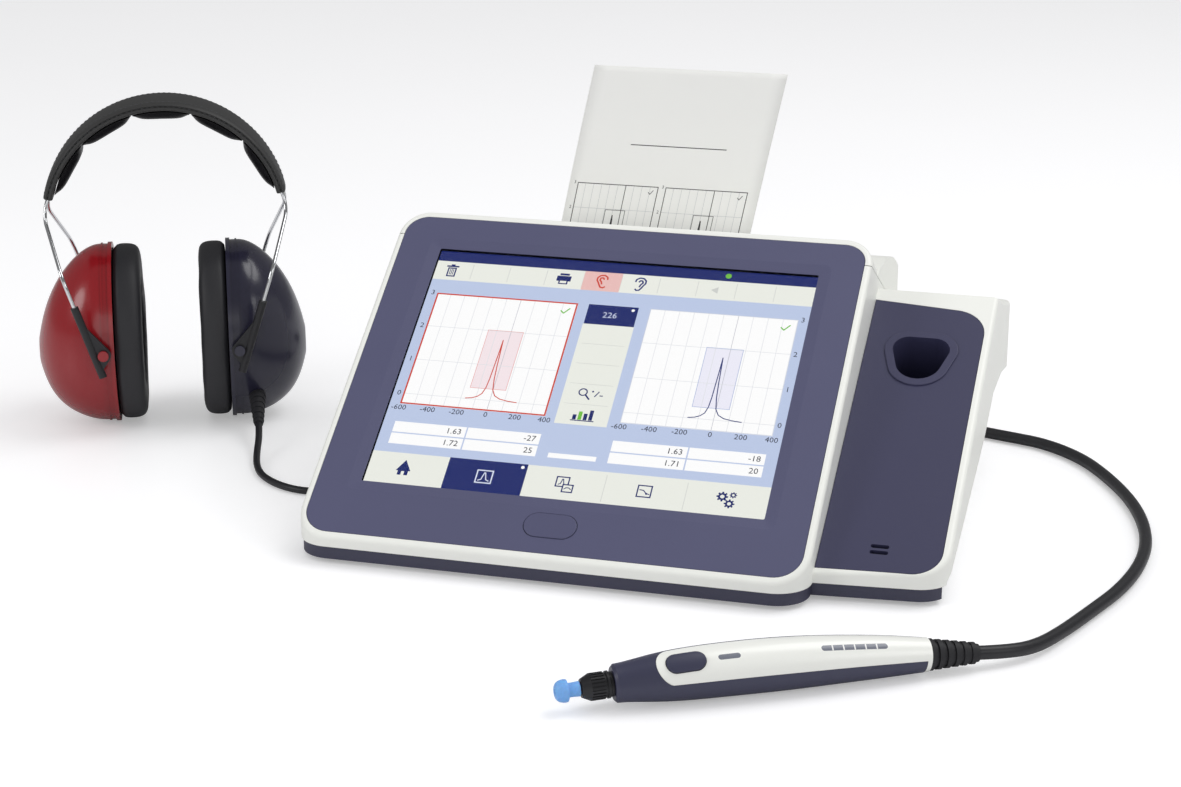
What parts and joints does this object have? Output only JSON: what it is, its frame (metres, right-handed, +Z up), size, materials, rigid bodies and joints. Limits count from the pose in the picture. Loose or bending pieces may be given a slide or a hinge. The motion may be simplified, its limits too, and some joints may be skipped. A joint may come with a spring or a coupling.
{
  "type": "tympanometer",
  "caption": "Desktop tympanometer: sloping touch screen console with printer and probe cradle, corded hand probe and corded headset.",
  "frame": {"origin": "centre of the underside of the front foot strip, under the middle of the display; the part stands on Z = 0", "axes": "+X to the right along the console's front, +Y towards its rear, +Z up"},
  "size_m": [0.6542, 0.6033, 0.218],
  "materials": {
    "white_shell": "satin moulded plastic",
    "dark_tray": "matt moulded plastic",
    "bezel_grey": "fine matt plastic",
    "panel_grey": "fine matt plastic",
    "button_dark": "smooth plastic",
    "screen_glass": "clear glass",
    "screen_module": "lit display",
    "rubber_dark": "matt rubber",
    "steel": "bright steel",
    "chrome": "polished",
    "board_green": "circuit board",
    "paper": "thermal paper",
    "tube_clear": "clear soft tube",
    "plug_dark": "moulded plastic",
    "cord_dark": "matt sheath",
    "probe_dark": "satin plastic",
    "probe_white": "smooth plastic",
    "light_grey": "translucent plastic",
    "ear_tip_blue": "soft silicone",
    "core_plastic": "hard plastic",
    "cup_red": "painted plastic",
    "cup_dark": "painted plastic",
    "cushion_black": "glossy leatherette",
    "band_black": "stitched leatherette",
    "strap": "woven strap"
  },
  "bodies": {
    "console": {"upper_housing": "white_shell", "lid_hinge_rod": "steel", "base_tray": "dark_tray", "case_screws": "steel", "front_foot": "rubber_dark", "round_feet": "rubber_dark", "display_bezel": "bezel_grey", "touch_glass": "screen_glass", "lcd_module": "screen_module", "switch_board": "board_green", "cradle_panel": "panel_grey", "probe_cup": "bezel_grey", "speaker": "plug_dark", "paper_spindle": "core_plastic", "thermal_head": "steel", "printer_motor": "core_plastic", "paper_web": "paper", "main_board": "board_green", "air_pump": "core_plastic", "pressure_tube": "tube_clear", "connector_plate": "dark_tray", "power_inlet": "plug_dark", "usb_port": "steel", "probe_socket": "steel", "headset_socket": "steel", "probe_plug": "plug_dark", "headset_plug": "plug_dark", "probe_cord": "cord_dark", "probe_cord_coil": "cord_dark", "cord_ties": "strap", "headset_cord": "cord_dark", "headset_cord_coil": "cord_dark"},
    "lid": {"printer_lid": "white_shell", "tear_bar": "steel", "paper_strip": "paper"},
    "platen": {"platen_roller": "rubber_dark"},
    "roll": {"paper_roll": "paper"},
    "power_key": {"power_button": "button_dark"},
    "probe": {"probe_lower_shell": "probe_dark", "probe_upper_shell": "probe_white", "probe_lights": "light_grey", "probe_board": "board_green", "probe_tip_core": "core_plastic", "probe_strain_relief": "cord_dark"},
    "probe_key": {"probe_button": "button_dark"},
    "collar": {"probe_collar": "probe_dark"},
    "tip": {"ear_tip": "ear_tip_blue"},
    "dark_side": {"dark_cup": "cup_dark", "dark_cushion": "cushion_black", "dark_driver": "plug_dark", "headset_relief": "cord_dark"},
    "right_yoke": {"right_yoke_sleeves": "plug_dark", "right_yoke_wires": "chrome"},
    "headband": {"headband_cover": "band_black", "headband_pads": "band_black"},
    "left_yoke": {"left_yoke_sleeves": "plug_dark", "left_yoke_wires": "chrome"},
    "red_side": {"red_cup": "cup_red", "red_cushion": "cushion_black", "red_driver": "plug_dark"}
  },
  "joints": [
    {"name": "power_press", "type": "slide", "parent": "console", "child": "power_key", "axis": [0, 0.5736, -0.8192], "range_m": [0, 0.001], "stiffness_N_per_m": 400, "springref_m": -0.001},
    {"name": "lid_open", "type": "hinge", "parent": "console", "child": "lid", "pos_m": [0, 0.2675, 0.0882], "axis": [-1, 0, 0], "range_deg": [0, 85]},
    {"name": "platen_spin", "type": "hinge", "parent": "lid", "child": "platen", "pos_m": [0, 0.214, 0.1075], "axis": [1, 0, 0], "continuous": true},
    {"name": "roll_spin", "type": "hinge", "parent": "console", "child": "roll", "pos_m": [0, 0.222, 0.066], "axis": [1, 0, 0], "continuous": true},
    {"name": "probe_lift", "type": "slide", "parent": "console", "child": "probe", "axis": [0, 0, 1], "range_m": [0, 0.15]},
    {"name": "probe_press", "type": "slide", "parent": "probe", "child": "probe_key", "axis": [-0.2914, 0.5426, -0.7878], "range_m": [0, 0.0006], "stiffness_N_per_m": 500, "springref_m": -0.001},
    {"name": "collar_turn", "type": "hinge", "parent": "probe", "child": "collar", "pos_m": [0.06562, -0.14329, 0.01064], "axis": [0.8668, 0.4964, 0.0468], "range_deg": [0, 120]},
    {"name": "tip_pull", "type": "slide", "parent": "probe", "child": "tip", "axis": [-0.8668, -0.4964, -0.0468], "range_m": [0, 0.015]},
    {"name": "headset_lift", "type": "slide", "parent": "console", "child": "dark_side", "axis": [0, 0, 1], "range_m": [0, 0.25]},
    {"name": "dark_cup_swing", "type": "hinge", "parent": "dark_side", "child": "right_yoke", "pos_m": [-0.25437, 0.20286, 0.053], "axis": [-0.4067, 0.9135, 0], "range_deg": [0, 10]},
    {"name": "right_height", "type": "slide", "parent": "right_yoke", "child": "headband", "axis": [-0.3422, -0.1524, 0.9272], "range_m": [0, 0.012]},
    {"name": "left_height", "type": "slide", "parent": "headband", "child": "left_yoke", "axis": [-0.3422, -0.1524, -0.9272], "range_m": [0, 0.012]},
    {"name": "red_cup_swing", "type": "hinge", "parent": "left_yoke", "child": "red_side", "pos_m": [-0.32563, 0.17114, 0.053], "axis": [0.4067, -0.9135, 0], "range_deg": [-10, 10]}
  ],
  "couplings": [
    {"joint": "platen_spin", "follows": "roll_spin", "ratio": 4.1667}
  ]
}
